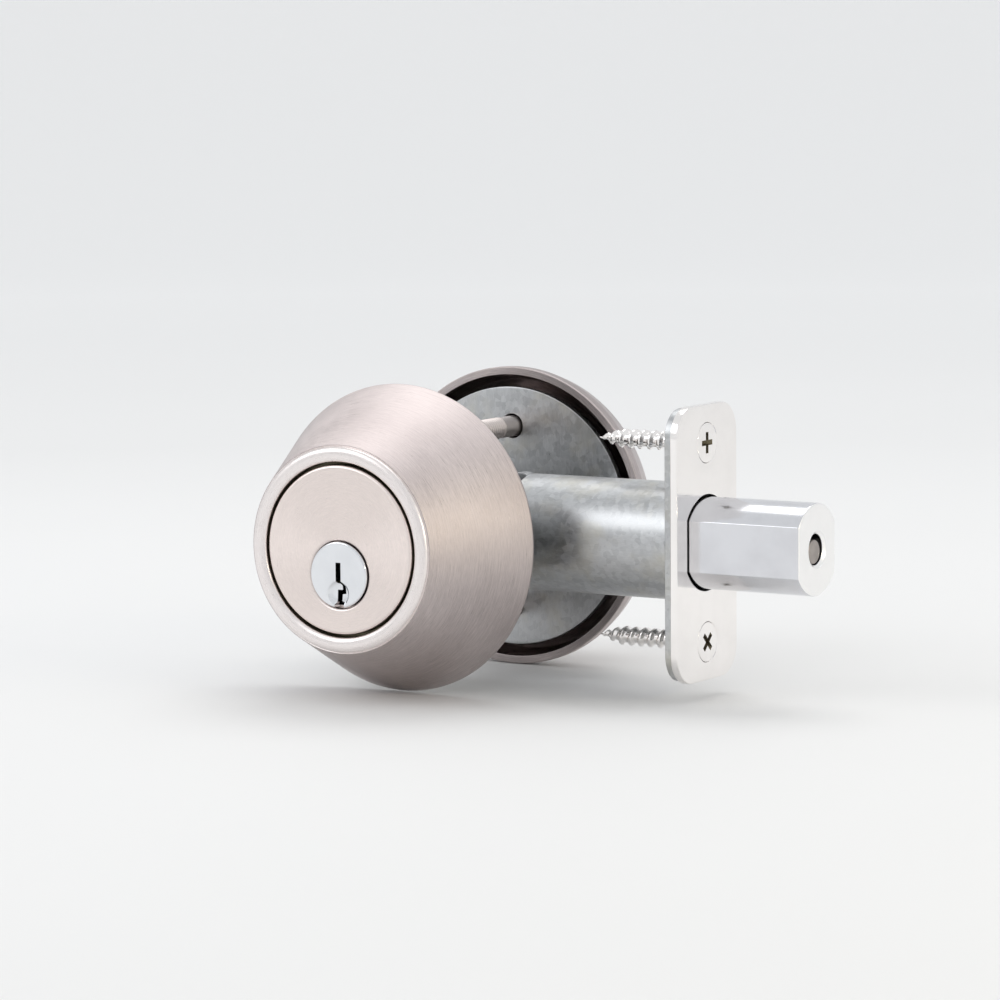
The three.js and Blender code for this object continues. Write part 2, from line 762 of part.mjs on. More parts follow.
piece("backing_plate", edgePlate(24.6, 56.3, 6, BACKING_BACK, FACE_BACK, 0.6), STEEL);
piece("latch_tube", ring("x", [0, 0], TUBE_INNER_R, TUBE_R, TUBE_START, BACKING_BACK, 48), STEEL);
piece("case_plate_outer", casePlate(-CASE_FACE - CASE_SKIN, -CASE_FACE), STEEL);
piece("case_plate_inner", casePlate(CASE_FACE, CASE_FACE + CASE_SKIN), STEEL);
piece("case_guide", caseGuide(), STEEL);
piece("case_rivet_rear", caseRivet(CASE_RIVETS[0]), STEEL);
piece("case_rivet_front", caseRivet(CASE_RIVETS[1]), STEEL);
piece("hub_lever", hubLever(), CAST);
piece("hub_spring", hubSpring(), STEEL);
piece("bolt", bolt(), POLISHED);
piece("bolt_roller", roller(), STEEL);
piece("bolt_tail", boltTail(), STEEL);
piece("tail_rivet", rod("y", TAIL_RIVET, 1.2, -7, 7, TINY + 4), STEEL);
for (const [where, side] of Object.entries(sides)) {
  piece(`post_${where}`, post(side), STEEL);
  piece(`through_bolt_${where}`, throughBolt(side), STEEL);
  piece(`face_screw_${where}`, faceScrew(side), STEEL);
}

export default group;
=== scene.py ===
import math

import bmesh
import bpy
from mathutils import Matrix, Vector


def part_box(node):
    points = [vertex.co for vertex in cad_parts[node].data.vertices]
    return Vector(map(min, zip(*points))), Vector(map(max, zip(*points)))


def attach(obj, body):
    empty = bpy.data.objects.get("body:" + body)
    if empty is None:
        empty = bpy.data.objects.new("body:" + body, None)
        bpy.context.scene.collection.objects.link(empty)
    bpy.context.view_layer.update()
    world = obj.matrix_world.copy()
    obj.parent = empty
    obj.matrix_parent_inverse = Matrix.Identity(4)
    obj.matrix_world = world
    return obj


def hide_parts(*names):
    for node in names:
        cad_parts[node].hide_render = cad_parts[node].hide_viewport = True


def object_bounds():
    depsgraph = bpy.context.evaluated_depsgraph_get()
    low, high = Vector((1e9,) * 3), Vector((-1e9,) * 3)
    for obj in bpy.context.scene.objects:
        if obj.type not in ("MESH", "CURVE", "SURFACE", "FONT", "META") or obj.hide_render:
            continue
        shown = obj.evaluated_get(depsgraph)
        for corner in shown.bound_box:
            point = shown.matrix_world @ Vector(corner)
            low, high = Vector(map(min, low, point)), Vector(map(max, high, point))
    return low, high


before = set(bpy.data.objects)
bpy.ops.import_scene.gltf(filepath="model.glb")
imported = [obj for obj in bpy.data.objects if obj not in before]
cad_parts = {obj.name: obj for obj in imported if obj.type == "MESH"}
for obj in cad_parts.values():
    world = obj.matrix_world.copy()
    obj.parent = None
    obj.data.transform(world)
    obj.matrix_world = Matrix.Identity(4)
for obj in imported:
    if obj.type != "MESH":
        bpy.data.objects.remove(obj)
CAD_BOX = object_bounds()

# Lengths in this script are in millimetres, and MM turns them into Blender's metres.
MM = 0.001

# Segments round a turned piece, and round a small hole.
ROUND = 192
SMALL_ROUND = 64

# The camera: where it stands round the lock, and which point is in the middle of its picture.
VIEW_AZIMUTH = 31.4
VIEW_ELEVATION = 6.5
VIEW_ROLL = -0.43
VIEW_DISTANCE = 983.0
VIEW_ASIDE = 8.84
VIEW_ABOVE = 5.58
LENS = 166.6
SENSOR = 36.0


class Span:
    """The box of a CAD node, in millimetres."""

    def __init__(self, node):
        low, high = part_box(node)
        self.low, self.high = low / MM, high / MM
        self.middle = (self.low + self.high) / 2
        self.size = self.high - self.low


# ---------------------------------------------------------------- mesh tools


def placed(axis, centre):
    """The matrix of a piece whose own Z runs along an axis of the lock, through a point."""
    columns = {
        "x": ((0, 1, 0), (0, 0, 1), (1, 0, 0)),
        "y": ((1, 0, 0), (0, 0, -1), (0, 1, 0)),
        "z": ((1, 0, 0), (0, 1, 0), (0, 0, 1)),
    }
    turn = Matrix(columns[axis]).transposed().to_4x4()
    return Matrix.Translation(Vector(centre) * MM) @ turn


def made(name, points, faces, matrix=None):
    """A mesh object from points in millimetres."""
    mesh = bpy.data.meshes.new(name)
    mesh.from_pydata([Vector(p) * MM for p in points], [], faces)
    mesh.validate()
    piece = bpy.data.objects.new(name, mesh)
    bpy.context.scene.collection.objects.link(piece)
    if matrix:
        piece.matrix_world = matrix
    cleaned(piece)
    return piece


def cleaned(piece, weld=0.002):
    """Welds what coincides and turns the faces outwards."""
    bm = bmesh.new()
    bm.from_mesh(piece.data)
    bmesh.ops.remove_doubles(bm, verts=bm.verts, dist=weld * MM)
    bmesh.ops.dissolve_degenerate(bm, edges=bm.edges, dist=weld * MM / 4)
    bmesh.ops.recalc_face_normals(bm, faces=bm.faces)
    bm.to_mesh(piece.data)
    bm.free()


def smoothed(piece, crease=32):
    """Smooth shading, with edges sharper than the crease kept, and normals led by the large faces."""
    bm = bmesh.new()
    bm.from_mesh(piece.data)
    limit = math.radians(crease)
    for edge in bm.edges:
        edge.smooth = len(edge.link_faces) == 2 and edge.calc_face_angle(0) < limit
    for face in bm.faces:
        face.smooth = True
    bm.to_mesh(piece.data)
    bm.free()
    weighted = piece.modifiers.new("normals", "WEIGHTED_NORMAL")
    weighted.keep_sharp = True
    return piece


def settled(piece):
    """Makes a piece's modifiers part of its mesh."""
    depsgraph = bpy.context.evaluated_depsgraph_get()
    mesh = bpy.data.meshes.new_from_object(piece.evaluated_get(depsgraph))
    piece.modifiers.clear()
    piece.data = mesh
    return piece


def combined(piece, others, operation):
    """Cuts the others out of a piece, or joins them to it, and removes them."""
    for other in others:
        step = piece.modifiers.new("combine", "BOOLEAN")
        step.operation = operation
        step.object = other
        step.solver = "EXACT"
    settled(piece)
    for other in others:
        bpy.data.objects.remove(other)
    cleaned(piece, 0.001)
    return piece


def cut(piece, *cutters):
    return combined(piece, cutters, "DIFFERENCE")


def joined(piece, *others):
    return combined(piece, others, "UNION")


def eased(piece, width, steps=2, angle=40):
    """Breaks a piece's sharp edges."""
    bevel = piece.modifiers.new("edges", "BEVEL")
    bevel.width = width * MM
    bevel.segments = steps
    bevel.limit_method = "ANGLE"
    bevel.angle_limit = math.radians(angle)
    bevel.miter_outer = "MITER_ARC"
    return settled(piece)


def rounded(corners, closed, steps=4):
    """A profile whose corners (u, v, radius) are rounded; a corner with no radius stays sharp."""
    count = len(corners)
    points = []
    for i, corner in enumerate(corners):
        here = Vector(corner[:2])
        radius = corner[2] if len(corner) > 2 else 0
        end = not closed and i in (0, count - 1)
        if end or not radius:
            points.append(tuple(here))
            continue
        before = Vector(corners[i - 1][:2]) - here
        after = Vector(corners[(i + 1) % count][:2]) - here
        half = max(before.angle(after) / 2, 0.05)
        reach = min(radius / math.tan(half), before.length * 0.48, after.length * 0.48)
        start, stop = here + before.normalized() * reach, here + after.normalized() * reach
        for k in range(steps + 1):
            s = k / steps
            p = start * (1 - s) ** 2 + here * 2 * s * (1 - s) + stop * s**2
            points.append(tuple(p))
    return points


def turned(name, corners, axis, centre, closed=False, segments=ROUND, steps=4):
    """A piece turned about its axis from corners of (radius, distance along the axis, rounding)."""
    profile = rounded(corners, closed, steps)
    points = []
    for r, along in profile:
        for j in range(segments):
            a = 2 * math.pi * j / segments
            points.append((r * math.cos(a), r * math.sin(a), along))
    rows = len(profile)
    last = rows if closed else rows - 1
    faces = []
    for i in range(last):
        for j in range(segments):
            k = (j + 1) % segments
            below, above = i * segments, (i + 1) % rows * segments
            faces.append((below + j, below + k, above + k, above + j))
    return made(name, points, faces, placed(axis, centre))


def loft(name, rings, matrix=None):
    """A closed piece through rings of points in its own frame, capped at both ends."""
    count = len(rings[0])
    points = [p for ring in rings for p in ring]
    faces = [tuple(range(count))[::-1]]
    for i in range(len(rings) - 1):
        for j in range(count):
            k = (j + 1) % count
            faces.append((i * count + j, i * count + k, (i + 1) * count + k, (i + 1) * count + j))
    faces.append(tuple(range(len(points) - count, len(points))))
    return made(name, points, faces, matrix)


def prism(name, outline, axis, start, stop):
    """A straight piece with an outline across an axis."""
    across = {
        "x": lambda u, v, w: (w, u, v),
        "y": lambda u, v, w: (u, w, v),
        "z": lambda u, v, w: (u, v, w),
    }
    return loft(name, [[across[axis](u, v, w) for u, v in outline] for w in (start, stop)])


def block(name, axis, u, v, w):
    """A straight block: its ranges across and along an axis."""
    return prism(name, [(u[0], v[0]), (u[1], v[0]), (u[1], v[1]), (u[0], v[1])], axis, *w)


def circle(r, centre=(0, 0), segments=SMALL_ROUND):
    step = 2 * math.pi / segments
    return [
        (centre[0] + r * math.cos(step * j), centre[1] + r * math.sin(step * j))
        for j in range(segments)
    ]


def arc(r, start, stop, steps, centre=(0, 0)):
    angles = [math.radians(start + (stop - start) * i / steps) for i in range(steps + 1)]
    return [(centre[0] + r * math.cos(a), centre[1] + r * math.sin(a)) for a in angles]


def sheet_metal(name, outlines, axis, start, stop, edge):
    """A flat plate with holes and rounded edges: the first outline is its rim, the rest its holes."""
    curve = bpy.data.curves.new(name, "CURVE")
    curve.dimensions = "2D"
    curve.fill_mode = "BOTH"
    curve.extrude = ((stop - start) / 2 - edge) * MM
    curve.bevel_depth = edge * MM
    curve.bevel_resolution = 1
    curve.offset = -edge * MM
    for outline in outlines:
        spline = curve.splines.new("POLY")
        spline.points.add(len(outline) - 1)
        for point, (u, v) in zip(spline.points, outline):
            point.co = (u * MM, v * MM, 0, 1)
        spline.use_cyclic_u = True
    drawn = bpy.data.objects.new(name, curve)
    bpy.context.scene.collection.objects.link(drawn)
    depsgraph = bpy.context.evaluated_depsgraph_get()
    mesh = bpy.data.meshes.new_from_object(drawn.evaluated_get(depsgraph))
    bpy.data.objects.remove(drawn)
    piece = bpy.data.objects.new(name, mesh)
    bpy.context.scene.collection.objects.link(piece)
    middle = (start + stop) / 2
    across = {"x": ((0, 1, 0), (0, 0, 1), (1, 0, 0)), "y": ((1, 0, 0), (0, 0, 1), (0, 1, 0))}
    turn = Matrix(across[axis]).transposed().to_4x4()
    shift = Matrix.Translation(Vector((middle, 0, 0) if axis == "x" else (0, middle, 0)) * MM)
    piece.data.transform(shift @ turn)
    cleaned(piece)
    return piece


def threaded(name, axis, centre, start, stop, core, depth, pitch, segments=32):
    """A shank with a helical thread; core(along) gives the radius under the thread."""
    per_turn = 8
    rows = int((abs(stop - start) / pitch + 1) * per_turn)
    way = 1 if stop > start else -1
    crest = [0, 0, 0.35, 0.9, 1, 0.9, 0.35, 0]
    low, high = min(start, stop), max(start, stop)
    points = []
    for i in range(rows + per_turn + 1):
        for j in range(segments):
            turn = j / segments
            along = start + way * (i / per_turn + turn - 1) * pitch
            held = min(max(along, low), high)
            fade = 0 if held != along else min(1, abs(held - start) / pitch, abs(stop - held) / pitch)
            r = core(held) + depth * crest[i % per_turn] * fade
            a = 2 * math.pi * turn
            points.append((r * math.cos(a), r * math.sin(a), held))
    faces = []
    for i in range(rows):
        for j in range(segments):
            here = i * segments + j
            over = here + 1 if j < segments - 1 else (i + per_turn) * segments
            if over + segments < len(points):
                faces.append((here, over, over + segments, here + segments))
    ends = [
        tuple(range(segments)),
        tuple(range(len(points) - segments, len(points))),
    ]
    return made(name, points, faces + ends, placed(axis, centre))


def merged(piece, *others):
    """Puts other meshes into a piece as they are."""
    bm = bmesh.new()
    bm.from_mesh(piece.data)
    for other in others:
        copy = other.data.copy()
        copy.transform(piece.matrix_world.inverted() @ other.matrix_world)
        bm.from_mesh(copy)
        bpy.data.objects.remove(other)
    bm.to_mesh(piece.data)
    bm.free()
    return piece


def cross_recess(axis, centre, face, depth, reach, degrees):
    """A cutter for the tapered cross that takes a driver bit: small at the bottom, wide above the face."""
    rings = []
    bottom, mouth = (depth, reach * 0.42, 0.36), (-0.6, reach * 1.14, 0.62)
    for along, arm, half in (bottom, mouth):
        corner = [(half, arm), (half, half), (arm, half)]
        ring = []
        for quarter in range(4):
            a = math.radians(degrees + 90 * quarter)
            for u, v in (corner[2], corner[1], corner[0]):
                ring.append((u * math.cos(a) - v * math.sin(a), u * math.sin(a) + v * math.cos(a)))
        rings.append([(u, v, face - along) for u, v in ring])
    return loft("recess", rings, placed(axis, centre))


# ------------------------------------------------------------------ finishes


class Shade:
    """A value in a finish. Arithmetic on it adds Math nodes."""

    def __init__(self, finish, socket):
        self.finish, self.socket = finish, socket

    def math(self, operation, *values):
        return self.finish.node("ShaderNodeMath", {"operation": operation}, dict(enumerate(values)))

    def __add__(self, other):
        return self.math("ADD", self, other)

    def __sub__(self, other):
        return self.math("SUBTRACT", self, other)

    def __rsub__(self, other):
        return self.math("SUBTRACT", other, self)

    def __mul__(self, other):
        return self.math("MULTIPLY", self, other)

    def __pow__(self, other):
        return self.math("POWER", self, other)

    def __truediv__(self, other):
        return self.math("DIVIDE", self, other)

    __radd__ = __add__
    __rmul__ = __mul__


class Finish:
    """A material, made node by node."""

    def __init__(self, name):
        self.material = bpy.data.materials.new(name)
        self.material.use_nodes = True
        self.tree = self.material.node_tree
        self.shader = self.tree.nodes["Principled BSDF"]

    def node(self, kind, settings=None, inputs=None, output=0):
        new = self.tree.nodes.new(kind)
        for key, value in (settings or {}).items():
            setattr(new, key, value)
        for key, value in (inputs or {}).items():
            self.feed(new.inputs[key], value)
        return Shade(self, new.outputs[output])

    def feed(self, socket, value):
        if isinstance(value, Shade):
            self.tree.links.new(value.socket, socket)
        else:
            socket.default_value = (*value, 1) if isinstance(value, tuple) else value

    def surface(self, **sockets):
        for name, value in sockets.items():
            self.feed(self.shader.inputs[name.replace("_", " ")], value)
        return self.material

    # Where on the piece: its own x, y, z in millimetres, and round its own Z.
    def place(self):
        at = self.node("ShaderNodeTexCoord", output="Object")
        whole = self.node("ShaderNodeVectorMath", {"operation": "SCALE"}, {0: at, "Scale": 1 / MM})
        split = self.node("ShaderNodeSeparateXYZ", inputs={0: whole}).socket.node
        return whole, [Shade(self, out) for out in split.outputs]

    def vector(self, x, y, z):
        return self.node("ShaderNodeCombineXYZ", inputs={0: x, 1: y, 2: z})

    def noise(self, at, scale, detail=2.0, rough=0.5):
        wanted = {"Vector": at, "Scale": scale, "Detail": detail, "Roughness": rough}
        return self.node("ShaderNodeTexNoise", inputs=wanted)

    def mixed(self, low, high, factor):
        settings = {"data_type": "RGBA"}
        wanted = {0: factor, 6: low, 7: high}
        return self.node("ShaderNodeMix", settings, wanted, output=2)

    def bump(self, height, strength, distance):
        wanted = {"Height": height, "Strength": strength, "Distance": distance * MM}
        return self.node("ShaderNodeBump", inputs=wanted)

    def ramp(self, value, low, high, out_low=0.0, out_high=1.0):
        wanted = {"Value": value, "From Min": low, "From Max": high, "To Min": out_low, "To Max": out_high}
        return self.node("ShaderNodeMapRange", inputs=wanted)


def brushed_round(name, pale, deep, rough, depth, shine=1.0):
    """Metal brushed round the piece's own Z: overlapping strokes, and a slow cloudiness."""
    f = Finish(name)
    whole, (x, y, z) = f.place()
    r = (x * x + y * y) ** 0.5 + 0.001
    around, about, across = x / r, y / r, r + z
    fine = f.noise(f.vector(around * 12.0, about * 12.0, across * 6.5), 1.0, 3.0, 0.7)
    long_strokes = f.noise(f.vector(around * 3.0, about * 3.0, across * 3.2 + 40.0), 1.0, 2.0, 0.6)
    cloud = f.noise(whole, 0.06, 3.0, 0.5)
    strokes = fine * 0.65 + long_strokes * 0.35
    return f.surface(
        Base_Color=f.mixed(deep, pale, f.ramp(strokes + (cloud - 0.5) * 0.25, 0.36, 0.64)),
        Metallic=1.0,
        Roughness=f.ramp(strokes, 0.35, 0.65, rough - 0.07, rough + 0.08),
        Anisotropic=shine,
        Normal=f.bump(strokes, 0.5, depth),
    )


def satin_face(name, pale, deep, rough):
    """A fine satin face with faint turning rings."""
    f = Finish(name)
    whole, (x, y, z) = f.place()
    r = (x * x + y * y) ** 0.5
    rings = f.noise(f.vector(r * 6.0, z * 6.0, 0.0), 1.0, 2.0, 0.6)
    grain = f.noise(whole, 9.0, 3.0, 0.6)
    cloud = f.noise(whole, 0.09, 2.0, 0.5)
    tone = f.ramp(rings * 0.4 + grain * 0.3 + cloud * 0.5, 0.35, 0.8)
    return f.surface(
        Base_Color=f.mixed(deep, pale, tone),
        Metallic=1.0,
        Roughness=f.ramp(grain + rings, 0.6, 1.4, rough - 0.04, rough + 0.05),
        Normal=f.bump(grain + rings, 0.2, 0.006),
    )


def polished(name, pale, deep, rough, haze=0.05, wave=0.02):
    """Plated and buffed metal: hairline scratches, a soft haze and a slight unevenness."""
    f = Finish(name)
    whole, (x, y, z) = f.place()
    hair = f.noise(f.vector(x * 1.2, y * 14.0, z * 14.0), 1.0, 2.0, 0.7)
    cross = f.noise(f.vector(x * 12.0, y * 0.9, z * 9.0), 1.0, 2.0, 0.7)
    swell = f.noise(whole, 0.22, 2.0, 0.5)
    smear = f.noise(whole, 0.12, 4.0, 0.6)
    scratches = f.ramp(hair, 0.66, 0.8) + f.ramp(cross, 0.7, 0.82)
    gloss = f.ramp(smear, 0.35, 0.75, rough, rough + haze) + scratches * 0.08
    return f.surface(
        Base_Color=f.mixed(pale, deep, f.ramp(smear, 0.4, 0.8)),
        Metallic=1.0,
        Roughness=gloss,
        Normal=f.bump(swell + scratches * 0.02, 0.25, wave),
    )


def plated_steel(name, pale, deep, tint, rough):
    """Zinc-plated steel: rolled grain, small spangles and a faint warm bloom."""
    f = Finish(name)
    whole, (x, y, z) = f.place()
    cells = f.node("ShaderNodeTexVoronoi", inputs={"Vector": whole, "Scale": 0.9}, output="Color")
    spangle = f.node("ShaderNodeSeparateColor", inputs={0: cells})
    grain = f.noise(f.vector(x * 3.0, y * 3.0, z * 0.7), 1.0, 4.0, 0.7)
    bloom = f.noise(whole, 0.11, 3.0, 0.6)
    base = f.mixed(deep, pale, f.ramp(spangle * 0.35 + grain * 0.65, 0.25, 0.75))
    return f.surface(
        Base_Color=f.mixed(base, tint, f.ramp(bloom, 0.5, 0.85, 0.0, 0.55)),
        Metallic=1.0,
        Roughness=f.ramp(grain + spangle * 0.3, 0.3, 1.0, rough - 0.07, rough + 0.1),
        Normal=f.bump(grain, 0.3, 0.02),
    )


def turned_metal(name, pale, deep, rough):
    """Bar stock turned on a lathe: fine rings along the piece's own Z."""
    f = Finish(name)
    whole, (x, y, z) = f.place()
    rings = f.noise(f.vector(0.0, 0.0, z * 9.0), 1.0, 1.0, 0.5)
    stain = f.noise(whole, 0.5, 3.0, 0.6)
    return f.surface(
        Base_Color=f.mixed(deep, pale, f.ramp(stain, 0.3, 0.7)),
        Metallic=1.0,
        Roughness=f.ramp(rings, 0.3, 0.7, rough - 0.08, rough + 0.1),
        Normal=f.bump(rings, 0.4, 0.02),
    )


def cast_metal(name, pale, deep, rough):
    """Die-cast zinc, tumbled: fine pits and dull flats."""
    f = Finish(name)
    whole, _ = f.place()
    pits = f.noise(whole, 2.6, 5.0, 0.7)
    patch = f.noise(whole, 0.25, 3.0, 0.6)
    return f.surface(
        Base_Color=f.mixed(deep, pale, f.ramp(patch + pits * 0.4, 0.45, 0.95)),
        Metallic=1.0,
        Roughness=f.ramp(pits, 0.3, 0.7, rough - 0.08, rough + 0.12),
        Normal=f.bump(pits, 0.5, 0.05),
    )


def studio_paper():
    """The pale matt sheet that the lock stands on, with painted light: paler towards its raised rim, where the
    lamps' light falls away.
    """
    f = Finish("studio_paper")
    whole, (x, y, _) = f.place()
    cloud = f.noise(whole, 0.004, 2.0, 0.5)
    near_tone = f.mixed((0.79, 0.79, 0.79), (0.83, 0.83, 0.83), cloud)
    # Painted light: the paper grows paler away from the lock, standing in for lamp light that does not reach
    # the rim.
    painted_rim_light = f.ramp((x * x + y * y) ** 0.5, 500.0, 1200.0)
    return f.surface(Base_Color=f.mixed(near_tone, (0.98, 0.98, 0.98), painted_rim_light), Roughness=0.7)


SATIN = brushed_round("satin_nickel_round", (0.62, 0.555, 0.545), (0.42, 0.37, 0.365), 0.34, 0.02)
SATIN_LIP = brushed_round("satin_nickel_lip", (0.90, 0.845, 0.83), (0.81, 0.755, 0.74), 0.30, 0.004, 0.4)
SATIN_HEAD = brushed_round("satin_nickel_head", (0.89, 0.795, 0.755), (0.79, 0.705, 0.67), 0.33, 0.005, 0.7)
SATIN_FACE = satin_face("satin_nickel_face", (0.73, 0.665, 0.64), (0.64, 0.58, 0.555), 0.36)
NICKEL = polished("bright_nickel", (0.97, 0.94, 0.92), (0.90, 0.87, 0.85), 0.10)
PLUG_NICKEL = polished("plug_nickel", (0.80, 0.815, 0.84), (0.73, 0.745, 0.77), 0.12)
CHROME = polished("chrome", (0.74, 0.745, 0.775), (0.65, 0.65, 0.68), 0.14)
CHROME_END = polished("chrome_end", (0.98, 0.97, 0.96), (0.94, 0.93, 0.92), 0.30)
# Painted shade: a dark cast-metal finish given to faces in gaps and recesses, where shade falls.
PAINTED_SHADE = cast_metal("painted_shade_recess", (0.26, 0.23, 0.165), (0.15, 0.13, 0.09), 0.5)
ZINC = plated_steel("zinc_plate", (0.60, 0.61, 0.62), (0.44, 0.45, 0.46), (0.56, 0.52, 0.40), 0.34)
BRASS = turned_metal("turned_brass", (0.80, 0.61, 0.30), (0.62, 0.44, 0.19), 0.28)
SPRING = turned_metal("spring_steel", (0.50, 0.48, 0.45), (0.33, 0.32, 0.31), 0.34)
HARD = turned_metal("hardened_steel", (0.42, 0.38, 0.355), (0.32, 0.29, 0.27), 0.42)
CAST = cast_metal("cast_zinc", (0.56, 0.56, 0.56), (0.40, 0.40, 0.41), 0.46)


def finished(piece, material, slot, body, *nodes):
    """Gives a piece its finish, its place in the lock and the CAD nodes it stands for."""
    piece.data.materials.clear()
    piece.data.materials.append(material)
    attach(piece, body)
    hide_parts(*nodes)
    return piece


# ------------------------------------------------------------------- outside

PLUG = Span("plug")
PLUG_AXIS = (0, 0, Span("tailpiece").middle.z)
GUARD = Span("guard")
BODY = Span("cylinder_body")


def touched_up(piece, material, chosen):
    """Gives the faces that a test picks another finish; the test sees their middle and normal."""
    piece.data.materials.append(material)
    index = len(piece.data.materials) - 1
    turn = piece.matrix_world.to_3x3()
    for face in piece.data.polygons:
        if chosen(piece.matrix_world @ face.center / MM, turn @ face.normal):
            face.material_index = index


def make_guard():
    base, front, back = GUARD.size.x / 2, GUARD.low.y, GUARD.high.y
    mouth, crease, lip_back, hollow, inner = 18.05, 21.5, -43.7, 20.3, 29.4
    # The rolled lip is half an oval, and a fine groove parts it from the cone.
    middle, half, rise, fullness, steps = 19.6, 1.55, 1.05, 0.8, 20
    lip = []
    for i in range(steps + 1):
        a = math.pi * i / steps
        lip.append((middle + half * math.cos(a), front + rise * (1 - math.sin(a) ** fullness)))
    corners = [(inner, back, 0.2), (base, back, 0.35), (crease, front + 0.98, 0.12)]
    corners += [(crease - 0.3, front + 1.12)] + lip
    corners += [(mouth, lip_back, 0.1), (hollow, lip_back), (hollow, lip_back + 2.3, 0.3)]
    guard = turned("guard_ring", corners, "y", (0, 0, 0), closed=True, segments=256, steps=6)
    finished(smoothed(guard, 50), SATIN, "satin_nickel", "guard", "guard")
    touched_up(guard, SATIN_LIP, lambda at, _: math.hypot(at.x, at.z) < crease - 0.2 and at.y < lip_back)
    # Painted shade on the lip's inner wall, in the gap round the cylinder head.
    touched_up(guard, PAINTED_SHADE, lambda at, _: math.hypot(at.x, at.z) < mouth + 0.05 and at.y > front + rise)


def make_cylinder():
    front = BODY.low.y
    head_r, head_back, ease = 17.45, -43.4, 0.85
    flange_r, flange_back = 19.8, -41.4
    barrel_r, barrel_front, barrel_back = 9.3, -42, -15
    corners = [
        (0, front), (head_r, front, ease), (head_r, head_back, 0.1), (flange_r, head_back, 0.1),
        (flange_r, flange_back, 0.2), (0, flange_back),
    ]
    head = turned("cylinder_face", corners, "y", (0, 0, 0), steps=6)
    corners = [(0, barrel_front), (barrel_r, barrel_front), (barrel_r, barrel_back, 0.4), (0, barrel_back)]
    barrel = turned("barrel", corners, "y", PLUG_AXIS)
    # The stack holds the pins above the plug, and the ears take the through bolts.
    stack = block("stack", "y", (-4.6, 4.6), (PLUG_AXIS[2], 11.8), (-41.8, -22))
    ears = block("ears", "y", (-5.5, 5.5), (-23.5, 23.5), (-27.3, -24.3))
    joined(barrel, stack, ears)
    eased(barrel, 0.25)
    # The bore opens in a soft dip in the face, and steps down behind the plug's rim.
    rim_r, rim_back, bore_r = 6.95, -44.2, 6.5
    bore = [
        (0, -48), (9, -48), (7.85, front - 0.02), (7.4, front + 0.07), (7.1, front + 0.26),
        (rim_r, front + 0.65), (rim_r, rim_back), (bore_r, rim_back), (bore_r, -10), (0, -10),
    ]
    for piece in (head, barrel):
        hole = turned("bore", bore, "y", PLUG_AXIS, segments=128)
        cut(piece, hole)
    finished(smoothed(head, 40), SATIN_HEAD, "satin_nickel", "lock", "cylinder_body")
    # Painted shade on the head's side wall, in the gap inside the guard's lip.
    touched_up(head, PAINTED_SHADE, lambda at, _: math.hypot(at.x, at.z) > head_r - 0.05 and at.y > front + ease)
    finished(smoothed(barrel, 35), CAST, "satin_nickel", "lock", "cylinder_body")
    barrel.name = "cylinder_barrel"


# Across and up from the plug's axis.
KEYWAY = [
    (-0.62, 2.55), (0.58, 2.55), (0.58, -1.25), (1.6, -2.2), (1.6, -3.85), (0.72, -3.95),
    (0.62, -5.35), (1.3, -5.6), (1.3, -7.4), (-1, -7.4), (-1, -6.1), (-0.55, -5.6),
    (-0.45, -3.1), (0.75, -3.05), (0.75, -2.15), (0.3, -1.75), (-0.3, -1.7), (-0.62, -1.35),
]


def make_plug():
    front, back, drop = PLUG.low.y, PLUG.high.y, PLUG_AXIS[2]
    rim_r, rim_back, r = 6.8, -44.4, 6.25
    groove_r, groove_front, groove_back = 5.4, -14.6, -13.6
    corners = [
        (0, front), (rim_r, front, 0.4), (rim_r, rim_back), (r, rim_back), (r, groove_front),
        (groove_r, groove_front), (groove_r, groove_back), (r, groove_back), (r, back, 0.3), (0, back),
    ]
    core = turned("plug_core", corners, "y", PLUG_AXIS, segments=128)
    outline = [(u, v + drop) for u, v in KEYWAY]
    slot = prism("keyway", outline, "y", front - 1, -20)
    # The dish round the lower keyway guides the key in.
    wide, deep, below, steps = 2.6, 0.6, 3.85, 14
    dish = [(wide * i / steps, front + deep * (1 - (i / steps) ** 5)) for i in range(steps + 1)]
    dish = dish + [(wide + 0.25, front - 0.1), (wide + 0.25, front - 1), (0, front - 1)]
    recess = turned("recess", dish, "y", (0, 0, drop - below), segments=128)
    # The tailpiece swings a quarter turn in its pocket between two stops.
    pocket_r, floor, half = 3.24, -16.5, 1.35
    profile = [(0, floor), (pocket_r, floor), (pocket_r, back + 1), (0, back + 1)]
    pocket = turned("pocket", profile, "y", PLUG_AXIS)
    corner = block("corner", "y", (-9, -0.0), (drop + half, drop + 9), (-18, back + 2))
    other = block("corner", "y", (0.0, 9), (drop - 9, drop - half), (-18, back + 2))
    cut(pocket, corner, other)
    cut(core, slot, recess, pocket)
    finished(smoothed(core, 30), PLUG_NICKEL, "bright_nickel", "plug", "plug")


# --------------------------------------------------------------------- latch

FACE = Span("faceplate")
BACKING = Span("backing_plate")
BOLT = Span("bolt")
BOLT_R = BOLT.size.z / 2
BOLT_HALF = BOLT.size.y / 2
SCREW = Span("face_screw_upper")


def bolt_section(margin, steps=40):
    r, half = BOLT_R + margin, BOLT_HALF + margin
    corner = math.degrees(math.acos(half / r))
    flat = 0.25 * r / BOLT_R
    rim = arc(r, corner, 180 - corner, steps) + arc(r, 180 + corner, 360 - corner, steps)
    return rounded([(u, v, flat if abs(abs(u) - half) < 1e-6 else 0) for u, v in rim], True, 3)


def rounded_plate(width, height, corner, steps=12):
    u, v = width / 2 - corner, height / 2 - corner
    quarters = ((u, v, 0), (-u, v, 90), (-u, -v, 180), (u, -v, 270))
    return [p for cu, cv, a in quarters for p in arc(corner, a, a + 90, steps, (cu, cv))]


